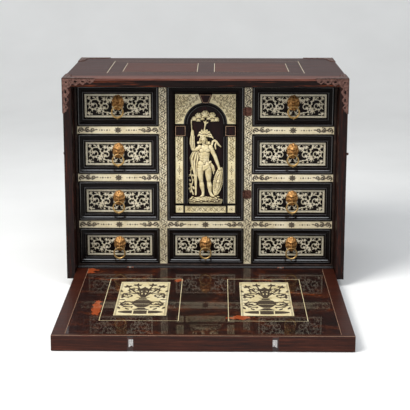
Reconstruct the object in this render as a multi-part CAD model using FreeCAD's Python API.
import FreeCAD, Part
import math
import os

from FreeCAD import Matrix, Placement, Rotation, Vector

# Table coin cabinet, millimetres. +Z is up and the fall front faces -Y.
# The origin is under the middle of the case, on the surface that it stands on.

# ---- driving dimensions -------------------------------------------------
CASE_W, CASE_D, CASE_H = 520.0, 300.0, 380.0
FOOT_H = 14.0                      # cross battens that lift the case
SIDE_T, TOP_T, FLOOR_T, BACK_T = 15.0, 16.0, 12.5, 10.0
LINING_SIDE, LINING_END = 4.5, 3.5  # ebony lining of the opening, walls and top or floor

FALL_T = 25.0
FALL_W = 487.0
FALL_TOP_GAP = 1.25                # closed fall to the underside of the top

DRAWER_SETBACK = 45.0              # drawer plane behind the front of the case
COLUMN_W = 153.0                   # left and right columns
CENTRE_W = 145.0                   # door and centre drawer
STRIP_W = 15.0                     # ivory facing on the uprights
STRIP_H = 14.5                     # ivory facing on the dust boards
ROW_H = 77.0                       # three upper rows
LOW_ROW_H = 70.0                   # bottom row
STRIP_T = 2.0
SLIDE_GAP = 0.4                    # drawer front to its opening

DRAWER_DEPTH = 233.0
DRAWER_FRONT_T = 14.0
DRAWER_SIDE_T = 6.0
DRAWER_BOTTOM_T = 4.0
PLAQUE_W, PLAQUE_H, LOW_PLAQUE_H = 123.4, 44.0, 39.0
CENTRE_PLAQUE_W = 115.0
PLAQUE_T = 1.2
PLAQUE_BORDER = 3.4

RING_R, RING_WIRE_R = 10.5, 1.75   # drop ring: centre line and wire
PULL_OUT = 11.0                    # ring plane in front of the drawer's ground
RING_SIDES = 12
MASK_R, TUFTS = 12.6, 9            # lion mask and the tufts of its mane
MASK_UP = 4.5                      # middle of the mask above the ring's axis
EYE_T, EYE_R = 1.4, 3.8            # eye that holds the ring: half thickness, outer radius

HINGE_LEAF_T = 1.2
PIN_R = 1.0
PIN_CLEARANCE = 0.05
PIN_SIDES = 10
KNUCKLE_GAP = 0.2
BARREL_SIDES = 8

# ---- places worked out from them ----------------------------------------
X_WALL = CASE_W / 2 - SIDE_T
Y_FRONT, Y_BACK = -CASE_D / 2, CASE_D / 2
Z_UNDER = FOOT_H
Z_FLOOR = Z_UNDER + FLOOR_T
Z_TOP = Z_UNDER + CASE_H
Z_CEILING = Z_TOP - TOP_T
Y_STRIP = Y_FRONT + DRAWER_SETBACK
Y_GROUND = Y_STRIP + 4.0           # sunk ground of drawer and door fronts
Y_LINING = Y_STRIP - 4.0
Y_BACKBOARD = Y_BACK - BACK_T
X_UPRIGHT = CENTRE_W / 2
X_COLUMN = X_UPRIGHT + STRIP_W + COLUMN_W / 2

ROWS = []                          # (z low, z high) of the rows, top row first
z_high = Z_CEILING - LINING_END
for row_height in (ROW_H, ROW_H, ROW_H, LOW_ROW_H):
    ROWS.append((z_high - row_height, z_high))
    z_high -= row_height + STRIP_H
STRIPS = [(low - STRIP_H, low) for low, _ in ROWS[:3]]
DOOR_Z = (ROWS[2][0], ROWS[0][1])

X_DIR, Y_DIR, Z_DIR = Vector(1, 0, 0), Vector(0, 1, 0), Vector(0, 0, 1)


# ---- helpers ------------------------------------------------------------
def block(x0, x1, y0, y1, z0, z1):
    return Part.makeBox(x1 - x0, y1 - y0, z1 - z0, Vector(x0, y0, z0))


def facet_points(sides, radius, centre, axis, half_step=True):
    """Corners of a regular polygon about centre, square to a row axis."""
    u, v = (Y_DIR, Z_DIR) if axis == X_DIR else (X_DIR, Z_DIR) if axis == Y_DIR else (X_DIR, Y_DIR)
    start = math.pi / sides if half_step else 0.0
    angles = [start + 2 * math.pi * i / sides for i in range(sides)]
    return [centre + u * (radius * math.cos(a)) + v * (radius * math.sin(a)) for a in angles]


def facet_bar(sides, radius, start, axis, length):
    """A straight many-sided bar, as filed from round stock."""
    return Part.Face(polygon(facet_points(sides, radius, start, axis))).extrude(axis * length)


def pin_bar(radius, start, axis, length):
    return facet_bar(PIN_SIDES, radius, start, axis, length)


def pin_hole(radius, start, axis, length):
    """A round hole for a turning pin of this radius."""
    return Part.makeCylinder(radius + PIN_CLEARANCE, length, start, axis)


def skinned(rings, endless=False):
    """A solid skinned with flat faces over rings of corners; endless joins the last to the first."""
    faces = []
    pairs = list(zip(rings, rings[1:] + rings[:1])) if endless else list(zip(rings, rings[1:]))
    for low, high in pairs:
        for i in range(len(low)):
            j = (i + 1) % len(low)
            a, b, c, d = low[i], low[j], high[j], high[i]
            normal = (c - a).cross(d - b)
            if abs(normal.dot(b - a)) < 1e-6 * normal.Length:
                faces.append(Part.Face(polygon([a, b, c, d])))
            else:
                faces.append(Part.Face(polygon([a, b, c])))
                faces.append(Part.Face(polygon([a, c, d])))
    if not endless:
        faces.append(Part.Face(polygon(rings[0])))
        faces.append(Part.Face(polygon(rings[-1])))
    solid = Part.Solid(Part.Shell(faces))
    return solid if solid.Volume > 0 else solid.reversed()


def facet_turning(sides, outline, centre, axis):
    """A turning cut in facets: outline is (distance along axis, radius) from one end to the other."""
    return skinned([facet_points(sides, r, centre + axis * a, axis) for a, r in outline])


def facet_wire(sides, radius, path, normal, endless=False):
    """Many-sided wire bent along the corners of a flat path, mitred at each; normal is the path's."""
    rings = []
    for i, here in enumerate(path):
        back = here - path[i - 1] if i > 0 or endless else path[1] - here
        ahead = path[(i + 1) % len(path)] - here if i < len(path) - 1 or endless else back
        back, ahead = Vector(back).normalize(), Vector(ahead).normalize()
        along = (back + ahead).normalize()
        across = normal.cross(along)
        stretch = 1 / along.dot(back)
        ring = []
        for k in range(sides):
            angle = math.pi / sides + 2 * math.pi * k / sides
            outward = normal * (radius * math.cos(angle))
            ring.append(here + outward + across * (radius * stretch * math.sin(angle)))
        rings.append(ring)
    return skinned(rings, endless)


def flipped(shape):
    """The shape's mirror image on the other side of the case."""
    return shape.mirror(Vector(0, 0, 0), X_DIR)


def polygon(points):
    return Part.makePolygon(points + [points[0]])


def arc(start, middle, end):
    return Part.Arc(start, middle, end).toShape()


def extruded(edges, direction):
    return Part.Face(Part.Wire(edges)).extrude(direction)


def plate(points, depth):
    """An upright plate: (x, z) corners, from y = 0 forward by depth."""
    return Part.Face(polygon([Vector(x, 0, z) for x, z in points])).extrude(Vector(0, -depth, 0))


def frame_strip(x0, x1, z0, z1, width, y, depth):
    """A flat rectangular frame whose front lies depth before y."""
    outer = block(x0, x1, y - depth, y, z0, z1)
    return outer.cut(block(x0 + width, x1 - width, y - depth, y, z0 + width, z1 - width))


def flat_frame(x0, x1, y0, y1, width, z, depth):
    """A flat rectangular frame let into a level surface at z."""
    outer = block(x0, x1, y0, y1, z - depth, z)
    return outer.cut(block(x0 + width, x1 - width, y0 + width, y1 - width, z - depth, z))


def moulded_frame(x0, x1, z0, z1, y, section):
    """A mitred moulding round a rectangle; section is its (inward, outward) corners."""
    rings = []
    for cx, cz, sx, sz in ((x0, z0, 1, 1), (x1, z0, -1, 1), (x1, z1, -1, -1), (x0, z1, 1, -1)):
        rings.append([Vector(cx + sx * inset, y - out, cz + sz * inset) for inset, out in section])
    return skinned(rings, True)


def group(*shapes):
    return Part.makeCompound([s for shape in shapes for s in shape.Solids])


# ---- hinges -------------------------------------------------------------
# A butt hinge in its own frame: the pin along X through the origin, the still
# board beyond +Y, the moving board beyond -Y, both boards' faces below Z = 0.
HALF_GAP = 0.25


def hinge(barrel_r, length, leaf_depth):
    """A butt hinge of three knuckles; its pin is riveted into the two outer ones."""
    outer = (length - 4 * KNUCKLE_GAP) / 3
    middle = length / 2 - outer - KNUCKLE_GAP

    def knuckle(x0, x1):
        return facet_bar(BARREL_SIDES, barrel_r, Vector(x0, 0, 0), X_DIR, x1 - x0)

    def leaf(side):
        y0, y1 = sorted((side * HALF_GAP, side * (HALF_GAP + HINGE_LEAF_T)))
        return block(-length / 2, length / 2, y0, y1, -leaf_depth, 0)

    def room(x0, x1, clearance):
        r = barrel_r / math.cos(math.pi / BARREL_SIDES) + clearance
        return facet_bar(BARREL_SIDES, r, Vector(x0, 0, 0), X_DIR, x1 - x0)

    still = leaf(1).cut(room(-length / 2 + outer, length / 2 - outer, 0.15))
    for x0, x1 in ((-length / 2, -length / 2 + outer), (length / 2 - outer, length / 2)):
        still = still.fuse(knuckle(x0, x1))
    still = still.fuse(pin_bar(PIN_R, Vector(-length / 2 + 1, 0, 0), X_DIR, length - 2)).removeSplitter()
    moving = leaf(-1)
    for x0, x1 in ((-length / 2, -middle), (middle, length / 2)):
        moving = moving.cut(room(x0, x1, 0.15))
    moving = moving.fuse(knuckle(-middle, middle))
    moving = moving.cut(pin_hole(PIN_R, Vector(-length / 2, 0, 0), X_DIR, length)).removeSplitter()
    notch = room(-length / 2 - 0.3, length / 2 + 0.3, 0.3)
    return {
        "still": still,
        "moving": moving,
        "still_cut": notch.fuse(leaf(1)),
        "moving_cut": notch.fuse(leaf(-1)),
    }


def placed(parts, placement):
    out = {}
    for name, shape in parts.items():
        out[name] = shape.copy()
        out[name].Placement = placement
    return out


FALL_HINGE_R, FALL_HINGE_L, FALL_LEAF = 2.5, 12.6, 10.0
FALL_AXIS_Y = Y_FRONT + FALL_T + 1.0
FALL_AXIS_Z = Z_FLOOR + 1.0
FALL_HINGE_X = 143.0
FALL_HINGES = [
    placed(hinge(FALL_HINGE_R, FALL_HINGE_L, FALL_LEAF),
           Placement(Vector(x, FALL_AXIS_Y, FALL_AXIS_Z), Rotation()))
    for x in (-FALL_HINGE_X, FALL_HINGE_X)
]

DOOR_HINGE_R, DOOR_HINGE_L, DOOR_LEAF = 2.4, 13.0, 12.0
DOOR_AXIS_X = X_UPRIGHT - HALF_GAP
DOOR_AXIS_Y = Y_STRIP - 1.0
DOOR_HINGE_Z = (Z_UNDER + 153.0, Z_UNDER + 312.0)
UPRIGHT_TURN = Matrix(0, 1, 0, 0, 0, 0, -1, 0, -1, 0, 0, 0, 0, 0, 0, 1)


def door_placement(z):
    turned = Placement(UPRIGHT_TURN)
    return Placement(Vector(DOOR_AXIS_X, DOOR_AXIS_Y, z), turned.Rotation)


DOOR_HINGES = [
    placed(hinge(DOOR_HINGE_R, DOOR_HINGE_L, DOOR_LEAF), door_placement(z)) for z in DOOR_HINGE_Z
]


# ---- case ---------------------------------------------------------------
LOCK_X = 114.0                     # the two locks of the fall
BOLT_W, BOLT_H, BOLT_L = 5.0, 6.0, 24.0
BOLT_ROOM = 0.2
FALL_MID_Y = FALL_AXIS_Y + (Z_FLOOR - FALL_T / 2 - FALL_AXIS_Z)   # middle of the closed fall
LINE_W, INLAY_T = 1.8, 1.2


def top_inlay():
    """Ivory lines let into the top: one outer rectangle and two panels."""
    lines = [flat_frame(-187, 187, Y_FRONT + 74, Y_FRONT + 252, LINE_W, Z_TOP, INLAY_T)]
    for x0, x1 in ((-159, -15), (15, 159)):
        lines.append(flat_frame(x0, x1, Y_FRONT + 94, Y_FRONT + 217, LINE_W, Z_TOP, INLAY_T))
    return group(*lines)


def case_top(inlay):
    board = block(-CASE_W / 2, CASE_W / 2, Y_FRONT, Y_BACK, Z_CEILING, Z_TOP)
    rebate = block(-X_WALL, X_WALL, Y_BACKBOARD, Y_BACK, Z_CEILING, Z_CEILING + 5)
    for line in inlay.Solids:
        board = board.cut(line)
    for side in (-1, 1):
        x = side * LOCK_X
        half_x, half_y = BOLT_W / 2 + 0.6, BOLT_H / 2 + 0.6
        y0, y1 = FALL_MID_Y - half_y, FALL_MID_Y + half_y
        board = board.cut(block(x - half_x, x + half_x, y0, y1, Z_CEILING, Z_CEILING + 8))
    return board.cut(rebate)


def case_sides():
    right = block(X_WALL, CASE_W / 2, Y_FRONT, Y_BACK, Z_UNDER, Z_CEILING)
    return group(flipped(right), right)


def case_floor():
    board = block(-X_WALL, X_WALL, FALL_AXIS_Y + HALF_GAP, Y_BACK, Z_UNDER, Z_FLOOR)
    for parts in FALL_HINGES:
        board = board.cut(parts["still_cut"])
    return board


def case_back():
    return block(-X_WALL, X_WALL, Y_BACKBOARD, Y_BACK, Z_FLOOR, Z_CEILING + 5)


def base_battens():
    """Three cross battens under the floor, with rounded lower edges."""
    long, wide = CASE_W - 60, 26.0
    battens = []
    for y in (-100, 0, 100):
        bar = block(-long / 2, long / 2, y - wide / 2, y + wide / 2, 0, FOOT_H)
        low = [e for e in bar.Edges if e.BoundBox.ZMax < 0.1 and e.BoundBox.XLength > 1]
        battens.append(bar.makeChamfer(2.0, low))
    return group(*battens)


# ---- inside the opening --------------------------------------------------
def opening_lining():
    """Thin ebony boards round the opening, their front edges eased."""
    right = block(X_WALL - LINING_SIDE, X_WALL, Y_LINING, Y_BACKBOARD, Z_FLOOR, Z_CEILING)
    x = X_WALL - LINING_SIDE
    ends = []
    for z in (Z_FLOOR, Z_CEILING - LINING_END):
        ends.append(block(-x, x, Y_LINING, Y_BACKBOARD, z, z + LINING_END))
    boards = [flipped(right), right] + ends
    bead = []
    for board in boards:
        front = [e for e in board.Edges if e.BoundBox.YMax < Y_LINING + 0.01 and e.Length > 50]
        bead.append(board.makeChamfer(1.0, front))
    return group(*bead)


def uprights():
    right = block(X_UPRIGHT, X_UPRIGHT + STRIP_W, Y_STRIP + STRIP_T, Y_BACKBOARD,
                  Z_FLOOR + LINING_END, Z_CEILING - LINING_END)
    left = flipped(right)
    for parts in DOOR_HINGES:
        right = right.cut(parts["still_cut"])
    return group(left, right)


def dust_boards():
    """A full dust board under each row, and one under the door."""
    boards = []
    x0, x1 = X_UPRIGHT + STRIP_W, X_WALL - LINING_SIDE
    for z0, z1 in STRIPS:
        right = block(x0, x1, Y_STRIP + STRIP_T, Y_BACKBOARD, z0, z1)
        boards += [flipped(right), right]
    z0, z1 = STRIPS[2]
    boards.append(block(-X_UPRIGHT, X_UPRIGHT, Y_STRIP + STRIP_T, Y_BACKBOARD, z0, z1))
    return group(*boards)


def ivory_strips():
    """Engraved ivory facings: two long uprights and seven cross strips."""
    z0, z1 = Z_FLOOR + LINING_END, Z_CEILING - LINING_END
    right = block(X_UPRIGHT, X_UPRIGHT + STRIP_W, Y_STRIP, Y_STRIP + STRIP_T, z0, z1)
    left = flipped(right)
    for parts in DOOR_HINGES:
        right = right.cut(parts["still_cut"])
    strips = [left, right]
    x0, x1 = X_UPRIGHT + STRIP_W, X_WALL - LINING_SIDE
    for low, high in STRIPS:
        cross = block(x0, x1, Y_STRIP, Y_STRIP + STRIP_T, low, high)
        strips += [flipped(cross), cross]
    low, high = STRIPS[2]
    strips.append(block(-X_UPRIGHT, X_UPRIGHT, Y_STRIP, Y_STRIP + STRIP_T, low, high))
    return group(*strips)


# ---- corner mounts -------------------------------------------------------
MOUNT_T = 1.2
MOUNT_ARM, MOUNT_DROP = 57.0, 62.0
MOUNT_NARROW, MOUNT_WIDE = 10.5, 15.0
LOBES = 3
LOBE = [(0.0, 0.0), (0.25, 1.0), (0.75, 1.0)]   # (along, rise) of one lobe's corners


def mount_leaf(arm_a, arm_b, width):
    """One scalloped and pierced angle plate, corner at the origin, arms along +X and +Y, below Z = 0."""
    lobe_rise = 3.2

    def lobed(start, step, out):
        """Lobes from start, each one step long and bulging towards out."""
        points = []
        for i in range(LOBES):
            here = start + step * i
            points += [here + step * along + out * (lobe_rise * rise) for along, rise in LOBE]
        return points + [start + step * LOBES]

    cove = 5.0                         # inner corner, before the first lobe
    step_a, step_b = (arm_a - width - cove) / LOBES, (arm_b - width - cove) / LOBES
    start_a, start_b = Vector(width + cove, width, 0), Vector(width, width + cove, 0)
    edge_a = lobed(start_a, Vector(step_a, 0, 0), Y_DIR)
    edge_b = lobed(start_b, Vector(0, step_b, 0), X_DIR)
    outline = [Vector(0, 0, 0), Vector(arm_a, 0, 0)] + edge_a[::-1] + edge_b + [Vector(0, arm_b, 0)]
    leaf = Part.Face(polygon(outline)).extrude(Vector(0, 0, -MOUNT_T))
    half_long, half_wide = 10.0, 2.8
    along, up = width + cove + step_a * 1.5, width + cove + step_b * 1.5
    for cx, cy, dx, dy in ((along, width / 2, half_long, half_wide), (width / 2, up, half_wide, half_long)):
        around = ((-dx, 0), (0, -dy), (dx, 0), (0, dy))
        points = [Vector(cx + a, cy + b, 1) for a, b in around]
        leaf = leaf.cut(Part.Face(polygon(points)).extrude(Vector(0, 0, -MOUNT_T - 2)))
    return leaf


def turned(shape, x_to, y_to, origin):
    """The shape with its X and Y axes laid along x_to and y_to; its Z may come out mirrored."""
    z_to = x_to.cross(y_to)
    m = Matrix(x_to.x, y_to.x, z_to.x, origin.x,
               x_to.y, y_to.y, z_to.y, origin.y,
               x_to.z, y_to.z, z_to.z, origin.z, 0, 0, 0, 1)
    out = shape.copy()
    out.transformShape(m, True)
    return out


def corner_mount():
    """The front right mount: leaves on the top, on the side and on the front."""
    corner = Vector(CASE_W / 2, Y_FRONT, Z_TOP)
    top = turned(mount_leaf(MOUNT_ARM, MOUNT_ARM, MOUNT_WIDE), Y_DIR, X_DIR * -1, corner)
    top.translate(Vector(0, 0, MOUNT_T - (top.BoundBox.ZMax - Z_TOP)))
    side = turned(mount_leaf(MOUNT_ARM, MOUNT_DROP, MOUNT_WIDE), Y_DIR, Z_DIR * -1, corner)
    side.translate(Vector(CASE_W / 2 + MOUNT_T - side.BoundBox.XMax, 0, 0))
    front = turned(mount_leaf(MOUNT_ARM, MOUNT_DROP, MOUNT_NARROW), X_DIR * -1, Z_DIR * -1, corner)
    front.translate(Vector(0, Y_FRONT - MOUNT_T - front.BoundBox.YMin, 0))
    x1, y0, z1 = CASE_W / 2, Y_FRONT, Z_TOP
    edges = [
        block(x1 - MOUNT_ARM, x1 + MOUNT_T, y0 - MOUNT_T, y0, z1, z1 + MOUNT_T),
        block(x1, x1 + MOUNT_T, y0 - MOUNT_T, y0 + MOUNT_ARM, z1, z1 + MOUNT_T),
        block(x1, x1 + MOUNT_T, y0 - MOUNT_T, y0, z1 - MOUNT_DROP, z1 + MOUNT_T),
    ]
    mount = top
    for piece in [side, front] + edges:
        mount = mount.fuse(piece)
    return mount.removeSplitter()


def corner_mounts():
    right = corner_mount()
    front = [flipped(right), right]
    return group(*front, *[m.mirror(Vector(0, 0, 0), Y_DIR) for m in front])


# ---- side handles --------------------------------------------------------
HANDLE_Z = Z_UNDER + 219.0
POST_Y = 45.0
POST_OUT = 9.0                     # bail axis to the side of the case
EYE_HALF, EYE_OUT = 4.0, 4.0
BAIL_R, BAIL_PIN_R = 2.4, 1.7
BAIL_DROP = 46.0
BEND_STEPS = 3


def handle_post(y):
    """A post with a round plate, an eye that takes the bail's pin and a small end knob."""
    x = CASE_W / 2
    knob = POST_OUT + EYE_OUT
    outline = [(0, 9), (1.2, 9), (3.5, 3.2), (knob, 1.8), (knob + 3.0, 2.4)]
    post = facet_turning(8, outline, Vector(x, y, HANDLE_Z), X_DIR)
    eye = facet_bar(8, EYE_OUT, Vector(x + POST_OUT, y - EYE_HALF, HANDLE_Z), Y_DIR, 2 * EYE_HALF)
    hole = pin_hole(BAIL_PIN_R, Vector(x + POST_OUT, y - 6, HANDLE_Z), Y_DIR, 12)
    return post.fuse(eye).cut(hole).removeSplitter()


def handle_posts():
    right = [handle_post(-POST_Y), handle_post(POST_Y)]
    return group(*[flipped(p) for p in right], *right)


def bail(side):
    """The bail: two inturned pins, drooping arms and a grip with a turned swelling."""
    x = side * (CASE_W / 2 + POST_OUT)

    def at(y, z):
        return Vector(x, y, HANDLE_Z + z)

    half, low, bend, turn = POST_Y + 9.5, -BAIL_DROP, 5.0, 14.0
    path = [at(half, -bend)]
    for i in range(BEND_STEPS + 1):
        a = math.pi / 2 * i / BEND_STEPS
        path.append(at(half - turn * (1 - math.cos(a)), low + turn * (1 - math.sin(a))))
    path += [at(-p.y, p.z - HANDLE_Z) for p in path[::-1]]
    body = facet_wire(8, BAIL_R, path, X_DIR)
    for sign in (-1, 1):
        knuckle = facet_bar(8, BAIL_R, at(sign * half, -bend), Z_DIR, bend + 2.0)
        inner = sign * (POST_Y - EYE_HALF + 0.5)
        pin = pin_bar(BAIL_PIN_R, at(min(inner, sign * half), 0), Y_DIR, abs(half - abs(inner)))
        body = body.fuse(knuckle).fuse(pin)
    swell = [(-16, 2.3), (-13, 3.5), (-10, 2.8), (0, 4.2), (10, 2.8), (13, 3.5), (16, 2.3)]
    return body.fuse(facet_turning(8, swell, at(0, low), Y_DIR)).removeSplitter()


# ---- fall ----------------------------------------------------------------
FALL_EDGE_Y = FALL_AXIS_Y - HALF_GAP
FALL_FREE_Y = FALL_AXIS_Y - (Z_CEILING - FALL_TOP_GAP - FALL_AXIS_Z)
LOCK_PLATE = (9.5, 13.3, 1.5)      # width, height, thickness
KEY_BACK = 24.0                    # keyhole behind the free edge


def fall_inlay():
    """Two ivory line frames, each round an ivory plaque, let into the inner face."""
    pieces = []
    for side in (-1, 1):
        x0, x1 = sorted((side * 40.0, side * 175.0))
        pieces.append(flat_frame(x0, x1, Y_FRONT - 256, Y_FRONT - 36, 2.2, Z_FLOOR, INLAY_T))
        x0, x1 = sorted((side * 63.0, side * 152.0))
        pieces.append(block(x0, x1, Y_FRONT - 230, Y_FRONT - 56, Z_FLOOR - INLAY_T, Z_FLOOR))
    return group(*pieces)


def lock_plate(x):
    """The steel plate on the free edge, swallow-tailed below, with the bolt's mouth."""
    width, height, thick = LOCK_PLATE
    zc = Z_FLOOR - FALL_T / 2
    half_w, half_h = width / 2, height / 2
    outline = [(-half_w, half_h), (half_w, half_h), (half_w, -half_h), (0, -half_h + 3), (-half_w, -half_h)]
    face = Part.Face(polygon([Vector(x + a, FALL_FREE_Y, zc + b) for a, b in outline]))
    return face.extrude(Vector(0, thick, 0))


def bolt_way(x, room):
    zc = Z_FLOOR - FALL_T / 2 + 0.6
    half_x, half_z = BOLT_W / 2 + room, BOLT_H / 2 + room
    return block(x - half_x, x + half_x, FALL_FREE_Y, FALL_FREE_Y + BOLT_L + room, zc - half_z, zc + half_z)


def escutcheon(x):
    """A shield-shaped keyhole plate let into the outer face, and its keyhole."""
    z, y = Z_FLOOR - FALL_T, FALL_FREE_Y + KEY_BACK
    shield = [(-7, -7), (0, -9), (7, -7), (6, 4), (0, 11), (-6, 4)]
    face = Part.Face(polygon([Vector(x + a, y + b, z) for a, b in shield]))
    key = facet_bar(8, 2.0, Vector(x, y, z - 1), Z_DIR, 9.0)
    return face.extrude(Vector(0, 0, 1)), key.fuse(block(x - 0.9, x + 0.9, y, y + 5.0, z - 1, z + 8))


def fall_panel(inlay):
    panel = block(-FALL_W / 2, FALL_W / 2, FALL_FREE_Y, FALL_EDGE_Y, Z_FLOOR - FALL_T, Z_FLOOR)
    panel = panel.makeChamfer(0.8, [e for e in panel.Edges if e.BoundBox.YMax < FALL_FREE_Y + 1])
    cuts = list(inlay.Solids)
    for parts in FALL_HINGES:
        cuts.append(parts["moving_cut"])
    for x in (-LOCK_X, LOCK_X):
        disc, keyhole = escutcheon(x)
        cuts += [lock_plate(x), bolt_way(x, BOLT_ROOM), disc, keyhole]
    for cutter in cuts:
        panel = panel.cut(cutter)
    return panel


def lock_plates():
    plates = []
    for x in (-LOCK_X, LOCK_X):
        disc, keyhole = escutcheon(x)
        plates += [lock_plate(x).cut(bolt_way(x, BOLT_ROOM)), disc.cut(keyhole)]
    return group(*plates)


# ---- drawer and door fronts ----------------------------------------------
def ebony_section(width):
    """Moulding section from the outer edge inwards: bead, flat, bead, slope to the ground."""
    flat = 3.4
    return [(0, 0), (0, flat), (0.6, flat), (1.6, flat + 1.2), (3.6, flat + 1.2), (4.6, flat),
            (width - 5.6, flat), (width - 4.6, flat + 1.0), (width - 3.2, flat + 1.0),
            (width - 2.2, flat), (width, 0.6), (width, 0)]


def pull_frame(opening, plaque_h):
    """(ring axis x, ring axis z) of a pull whose mask nearly reaches the upper border of its plaque."""
    x0, x1, z0, z1 = opening
    border = (z0 + z1) / 2 + plaque_h / 2 - PLAQUE_BORDER
    return (x0 + x1) / 2, border - 1.0 - MASK_R - MASK_UP


def drawer_front(x0, x1, z0, z1, plaque_w, plaque_h):
    """A front board with its swept moulding round the plaque."""
    board = block(x0, x1, Y_GROUND, Y_GROUND + DRAWER_FRONT_T, z0, z1)
    side = (x1 - x0 - plaque_w) / 2
    rail = (z1 - z0 - plaque_h) / 2
    frame = moulded_frame(x0, x1, z0, z1, Y_GROUND, ebony_section(side))
    if rail - side > 0.05:
        inner_x0, inner_x1 = x0 + side, x1 - side
        for low, high in ((z0 + side, z0 + rail), (z1 - rail, z1 - side)):
            frame = frame.fuse(block(inner_x0, inner_x1, Y_GROUND - 0.6, Y_GROUND, low, high))
    return board.fuse(frame).removeSplitter()


def drawer_box(opening, plaque_w, plaque_h):
    """The drawer: moulded front, two sides, back and bottom."""
    x0, x1, z0, z1 = opening
    x0, x1, z0, z1 = x0 + SLIDE_GAP, x1 - SLIDE_GAP, z0 + SLIDE_GAP, z1 - SLIDE_GAP
    y0, y1 = Y_GROUND + DRAWER_FRONT_T, Y_STRIP + DRAWER_DEPTH
    side_x, top = 0.6, z1 - 8.0
    front = drawer_front(x0, x1, z0, z1, plaque_w, plaque_h)
    left = block(x0 + side_x, x0 + side_x + DRAWER_SIDE_T, y0, y1, z0, top)
    right = block(x1 - side_x - DRAWER_SIDE_T, x1 - side_x, y0, y1, z0, top)
    in0, in1 = x0 + side_x + DRAWER_SIDE_T, x1 - side_x - DRAWER_SIDE_T
    back = block(in0, in1, y1 - DRAWER_SIDE_T, y1, z0, top)
    bottom = block(in0, in1, y0, y1 - DRAWER_SIDE_T, z0 + 2, z0 + 2 + DRAWER_BOTTOM_T)
    return group(front, left, right, back, bottom)


def plaque(opening, plaque_w, plaque_h):
    """The ivory border on the sunk ebony ground."""
    x0, x1, z0, z1 = opening
    xc, zc = (x0 + x1) / 2, (z0 + z1) / 2
    half_w, half_h = plaque_w / 2, plaque_h / 2
    x0, x1, z0, z1 = xc - half_w, xc + half_w, zc - half_h, zc + half_h
    return group(frame_strip(x0, x1, z0, z1, PLAQUE_BORDER, Y_GROUND, PLAQUE_T))


# ---- lion pulls ----------------------------------------------------------
def lion_mask(opening, plaque_h):
    """A gilt lion mask: tufted mane, broad face, brow, muzzle, ears and the eye for the ring."""
    x, z = pull_frame(opening, plaque_h)
    zc = z + MASK_UP

    def star(outer, inner, out):
        spots = []
        for i in range(2 * TUFTS):
            a, r = math.pi * i / TUFTS, outer if i % 2 == 0 else inner
            spots.append(Vector(x + r * math.sin(a), Y_GROUND - out, zc + r * math.cos(a)))
        return spots

    def tapered(low, high, out, reach):
        """A form from its (half width, bottom, top) at out to a smaller one at reach."""
        rings = []
        for (half, bottom, top), depth in ((low, out), (high, reach)):
            cut, middle = 0.5 * half, (top + bottom) / 2
            spots = [(-half, middle), (-half + cut, top), (half - cut, top),
                     (half, middle), (half - cut, bottom), (-half + cut, bottom)]
            rings.append([Vector(x + a, Y_GROUND - depth, zc + b) for a, b in spots])
        return skinned(rings)

    mask = skinned([star(MASK_R, MASK_R - 2.4, 0), star(MASK_R - 0.8, MASK_R - 3.4, 3.0)])
    face = tapered((9.0, -7.5, 9.0), (6.0, -4.5, 6.4), 3.0, 7.2)
    brow = tapered((5.6, 2.6, 6.2), (4.4, 3.2, 5.4), 6.0, 9.4)
    muzzle = tapered((4.4, -1.2, 3.6), (2.8, -1.2, 2.2), 6.0, 14.2)
    chin = tapered((4.0, -7.4, -3.9), (2.6, -6.8, -4.6), 2.5, 7.6)
    y_axis, y_root = Y_GROUND - PULL_OUT, Y_GROUND - 3
    edges = [
        arc(Vector(x, y_axis, z + EYE_R), Vector(x, y_axis - EYE_R, z), Vector(x, y_axis, z - EYE_R)),
        Part.LineSegment(Vector(x, y_axis, z - EYE_R), Vector(x, y_root, z - EYE_R)).toShape(),
        Part.LineSegment(Vector(x, y_root, z - EYE_R), Vector(x, y_root, z + EYE_R)).toShape(),
        Part.LineSegment(Vector(x, y_root, z + EYE_R), Vector(x, y_axis, z + EYE_R)).toShape(),
    ]
    eye = extruded(edges, Vector(2 * EYE_T, 0, 0))
    eye.translate(Vector(-EYE_T, 0, 0))
    for piece in (face, brow, muzzle, chin, eye):
        mask = mask.fuse(piece)
    for side in (-1, 1):
        ear = [(5.6, 7.6), (9.6, 6.4), (9.4, 10.6)]
        tip = polygon([Vector(x + side * a, Y_GROUND - 3, zc + b) for a, b in ear])
        mask = mask.fuse(Part.Face(tip).extrude(Vector(0, -2.8, 0)))
    hole = facet_bar(8, RING_WIRE_R + 0.55, Vector(x - 2, Y_GROUND - PULL_OUT, z), X_DIR, 4)
    return mask.cut(hole)


def drop_ring(opening, plaque_h):
    """The ring, a six-sided wire bent in short facets, with a small knop at its lowest point."""
    x, z = pull_frame(opening, plaque_h)
    y, zc = Y_GROUND - PULL_OUT, z - RING_R
    low = Vector(x, y, zc - RING_R)
    path = facet_points(RING_SIDES, RING_R / math.cos(math.pi / RING_SIDES), Vector(x, y, zc), Y_DIR)
    ring = facet_wire(6, RING_WIRE_R, path, Y_DIR, True)
    knop = facet_turning(6, [(0, 1.0), (1.6, 2.2), (3.2, 1.0)], low - Z_DIR * (RING_WIRE_R + 1.7), Z_DIR)
    return ring.fuse(knop)


# ---- door ----------------------------------------------------------------
DOOR_EDGE = X_UPRIGHT - 2 * HALF_GAP
DOOR_T = 16.0
COMPOSITION = (-56.3, 56.3, Z_UNDER + 116.2, Z_UNDER + 344.0)
SPRING_Z = Z_UNDER + 288.0         # springing line of the arch
ARCH_R, NICHE_R = 40.5, 33.0
NICHE_Z = Z_UNDER + 132.0
NICHE_DEEP = 6.0
IVORY_T = 1.2
FIGURE_W = 0.92                    # the relief's width against its outlines


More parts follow.
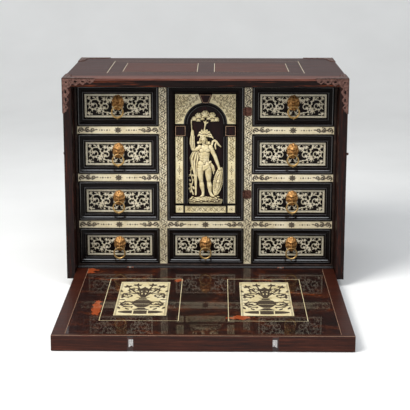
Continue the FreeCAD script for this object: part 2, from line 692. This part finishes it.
def arched(radius, low, y, depth):
    """An upright slab with a round head, its back at y."""
    edges = [
        Part.LineSegment(Vector(-radius, y, low), Vector(radius, y, low)).toShape(),
        Part.LineSegment(Vector(radius, y, low), Vector(radius, y, SPRING_Z)).toShape(),
        arc(Vector(radius, y, SPRING_Z), Vector(0, y, SPRING_Z + radius), Vector(-radius, y, SPRING_Z)),
        Part.LineSegment(Vector(-radius, y, SPRING_Z), Vector(-radius, y, low)).toShape(),
    ]
    return extruded(edges, Vector(0, -depth, 0))


def door_panel():
    z0, z1 = DOOR_Z[0] + SLIDE_GAP, DOOR_Z[1] - SLIDE_GAP
    board = block(-DOOR_EDGE, DOOR_EDGE, Y_GROUND, Y_GROUND + DOOR_T, z0, z1)
    frame = moulded_frame(-DOOR_EDGE, DOOR_EDGE, z0, z1, Y_GROUND, ebony_section(15.0))
    low, high = SPRING_Z - 158, Z_UNDER + 344.0
    outer = arched(ARCH_R, low, Y_GROUND, 2.4).cut(arched(ARCH_R - 2.6, low, Y_GROUND, 2.4))
    inner = arched(NICHE_R + 3.4, low, Y_GROUND, 3.0).cut(arched(NICHE_R, low, Y_GROUND, 3.0))
    crown = SPRING_Z + ARCH_R - 1
    key = plate([(-12.0, high), (-6.6, crown), (6.6, crown), (12.0, high)], 3.4)
    key.translate(Vector(0, Y_GROUND, 0))
    imposts = []
    for side in (-1, 1):
        x0, x1 = sorted((side * 37.2, side * 56.8))
        imposts.append(block(x0, x1, Y_GROUND - 3.4, Y_GROUND, Z_UNDER + 265.2, Z_UNDER + 284.8))
    sill = block(-NICHE_R, NICHE_R, Y_GROUND - 3.0, Y_GROUND + NICHE_DEEP, low, NICHE_Z)
    niche = arched(NICHE_R, NICHE_Z, Y_GROUND + NICHE_DEEP, NICHE_DEEP)
    panel = board.multiFuse([frame, outer, inner, key, sill] + imposts).cut(niche)
    for parts in DOOR_HINGES:
        panel = panel.cut(parts["moving_cut"])
    return panel.removeSplitter()


# Relief in the niche: how far each form stands out, and its corners (x, z above the underside of the case).
FIGURE = {
    "mound": (6.0, [(-34, 132.5), (34, 132.5), (29, 145), (14, 150), (-14, 150), (-29, 146)]),
    "standing leg": (5.6, [(-9, 148), (-1, 148), (-2, 157), (-3, 176), (-4, 206), (-15, 206), (-15, 195),
                           (-12, 176), (-7, 157)]),
    "resting leg": (5.2, [(8, 148), (17, 148), (11, 157), (11, 176), (13, 206), (-1, 206), (2, 176),
                          (6, 157)]),
    "body": (6.4, [(-15, 204), (13, 204), (10, 218), (10, 228), (13, 241), (6, 247), (-8, 247), (-13, 241),
                   (-11, 228), (-12, 218)]),
    "head": (6.6, [(-7, 245), (0, 245), (2, 251), (3, 259), (0, 265), (-9, 265), (-11, 258), (-9, 250)]),
    "crest": (4.6, [(-14, 264), (13, 262), (9, 270), (3, 276), (-2, 277.5), (-7, 276), (-13, 270)]),
    "plume": (3.0, [(-3, 276), (-1, 276), (1, 281), (5, 289), (-2, 289)]),
    "raised arm": (5.0, [(-8, 247), (-21, 246), (-22, 257), (-23.5, 273), (-29, 273), (-31, 256),
                         (-30, 240), (-24, 234), (-8, 238)]),
    "lowered arm": (4.8, [(9, 247), (13, 244), (20, 230), (25, 217), (30, 201), (25, 197), (18, 212),
                          (13, 226), (8, 236)]),
    "cloak": (3.0, [(-10, 240), (-12, 204), (-15, 150), (-21, 150), (-21, 196), (-29, 204), (-32, 222),
                    (-29, 236)]),
    "scarf": (3.0, [(8, 243), (12, 247), (14, 257), (20, 259), (26, 253), (32, 243), (27, 242), (22, 250),
                    (18, 252), (16, 246), (12, 240)]),
    "shield": (4.4, [(17, 150), (22, 149), (28, 153), (34, 175), (34, 196), (29, 204), (23, 203), (17, 190),
                     (14, 170)]),
    "cloud": (4.4, [(-28, 297), (-22, 292), (-12, 290), (0, 294), (14, 290), (26, 290), (27, 299),
                    (20, 308), (8, 313), (-6, 314), (-18, 309)]),
}


def figure():
    """A generic warrior with spear and shield under a cloud, blocked out in flat relief."""
    back = Y_GROUND + NICHE_DEEP
    forms = [block(-27.4, -25.4, back - 3.4, back, Z_UNDER + 146, Z_UNDER + 290)]
    for depth, outline in FIGURE.values():
        form = plate([(x * FIGURE_W, Z_UNDER + z) for x, z in outline], depth)
        form.translate(Vector(0, back, 0))
        forms.append(form)
    solid = forms[0]
    for form in forms[1:]:
        solid = solid.fuse(form)
    return solid.removeSplitter()


def door_ivory():
    """Spandrels, pilasters and base tablets of the ivory surround."""
    x0, x1, z0, z1 = COMPOSITION
    head = block(x0, x1, Y_GROUND - IVORY_T, Y_GROUND, SPRING_Z, z1)
    head = head.cut(arched(ARCH_R, SPRING_Z - 5, Y_GROUND, IVORY_T))
    wedge = [(-13.4, z1 + 1), (-8.0, SPRING_Z + ARCH_R - 3), (8.0, SPRING_Z + ARCH_R - 3), (13.4, z1 + 1)]
    key = plate(wedge, IVORY_T)
    key.translate(Vector(0, Y_GROUND, 0))
    pieces = [head.cut(key)]
    for side in (-1, 1):
        a, b = sorted((side * 42.2, side * 56.3))
        pieces.append(block(a, b, Y_GROUND - IVORY_T, Y_GROUND, Z_UNDER + 134.5, Z_UNDER + 263.6))
        pieces.append(block(a, b, Y_GROUND - IVORY_T, Y_GROUND, z0, Z_UNDER + 129.5))
    pieces.append(block(-38.8, 38.8, Y_GROUND - IVORY_T, Y_GROUND, z0, Z_UNDER + 129.0))
    return group(*pieces, figure())


# ---- the whole cabinet ----------------------------------------------------
def openings():
    """{drawer name: (x low, x high, z low, z high, plaque width, plaque height)}"""
    named = {}
    for side, x in (("left", -X_COLUMN), ("right", X_COLUMN)):
        for number, (low, high) in enumerate(ROWS, 1):
            tall = LOW_PLAQUE_H if number == 4 else PLAQUE_H
            named[f"{side}_{number}"] = (x - COLUMN_W / 2, x + COLUMN_W / 2, low, high, PLAQUE_W, tall)
    low, high = ROWS[3]
    named["centre"] = (-X_UPRIGHT, X_UPRIGHT, low, high, CENTRE_PLAQUE_W, LOW_PLAQUE_H)
    return named


def build():
    inlay, fall_ivory = top_inlay(), fall_inlay()
    hinges = FALL_HINGES + DOOR_HINGES
    nodes = {
        "case_top": case_top(inlay),
        "case_sides": case_sides(),
        "case_floor": case_floor(),
        "case_back": case_back(),
        "base_battens": base_battens(),
        "opening_lining": opening_lining(),
        "uprights": uprights(),
        "dust_boards": dust_boards(),
        "ivory_strips": ivory_strips(),
        "top_stringing": inlay,
        "corner_mounts": corner_mounts(),
        "hinge_leaves_fixed": group(*[h["still"] for h in hinges]),
        "handle_posts": handle_posts(),
        "bail_left": bail(-1),
        "bail_right": bail(1),
        "fall_panel": fall_panel(fall_ivory),
        "fall_ivory": fall_ivory,
        "fall_hinge_leaves": group(*[h["moving"] for h in FALL_HINGES]),
        "lock_plates": lock_plates(),
        "lock_bolt_left": bolt_way(-LOCK_X, 0),
        "lock_bolt_right": bolt_way(LOCK_X, 0),
        "door_panel": door_panel(),
        "door_ivory": door_ivory(),
        "door_hinge_leaves": group(*[h["moving"] for h in DOOR_HINGES]),
    }
    for name, (x0, x1, z0, z1, plaque_w, plaque_h) in openings().items():
        opening = (x0, x1, z0, z1)
        nodes[f"drawer_{name}_box"] = drawer_box(opening, plaque_w, plaque_h)
        nodes[f"drawer_{name}_plaque"] = plaque(opening, plaque_w, plaque_h)
        nodes[f"drawer_{name}_mask"] = lion_mask(opening, plaque_h)
        nodes[f"drawer_{name}_ring"] = drop_ring(opening, plaque_h)
    return nodes


os.makedirs("parts", exist_ok=True)
for node, shape in build().items():
    for solid in shape.Solids:
        if not solid.isValid() or solid.Volume <= 0:
            print("bad solid in", node)
    shape.exportStep(f"parts/{node}.step")
    print(node, len(shape.Solids), round(shape.Volume))
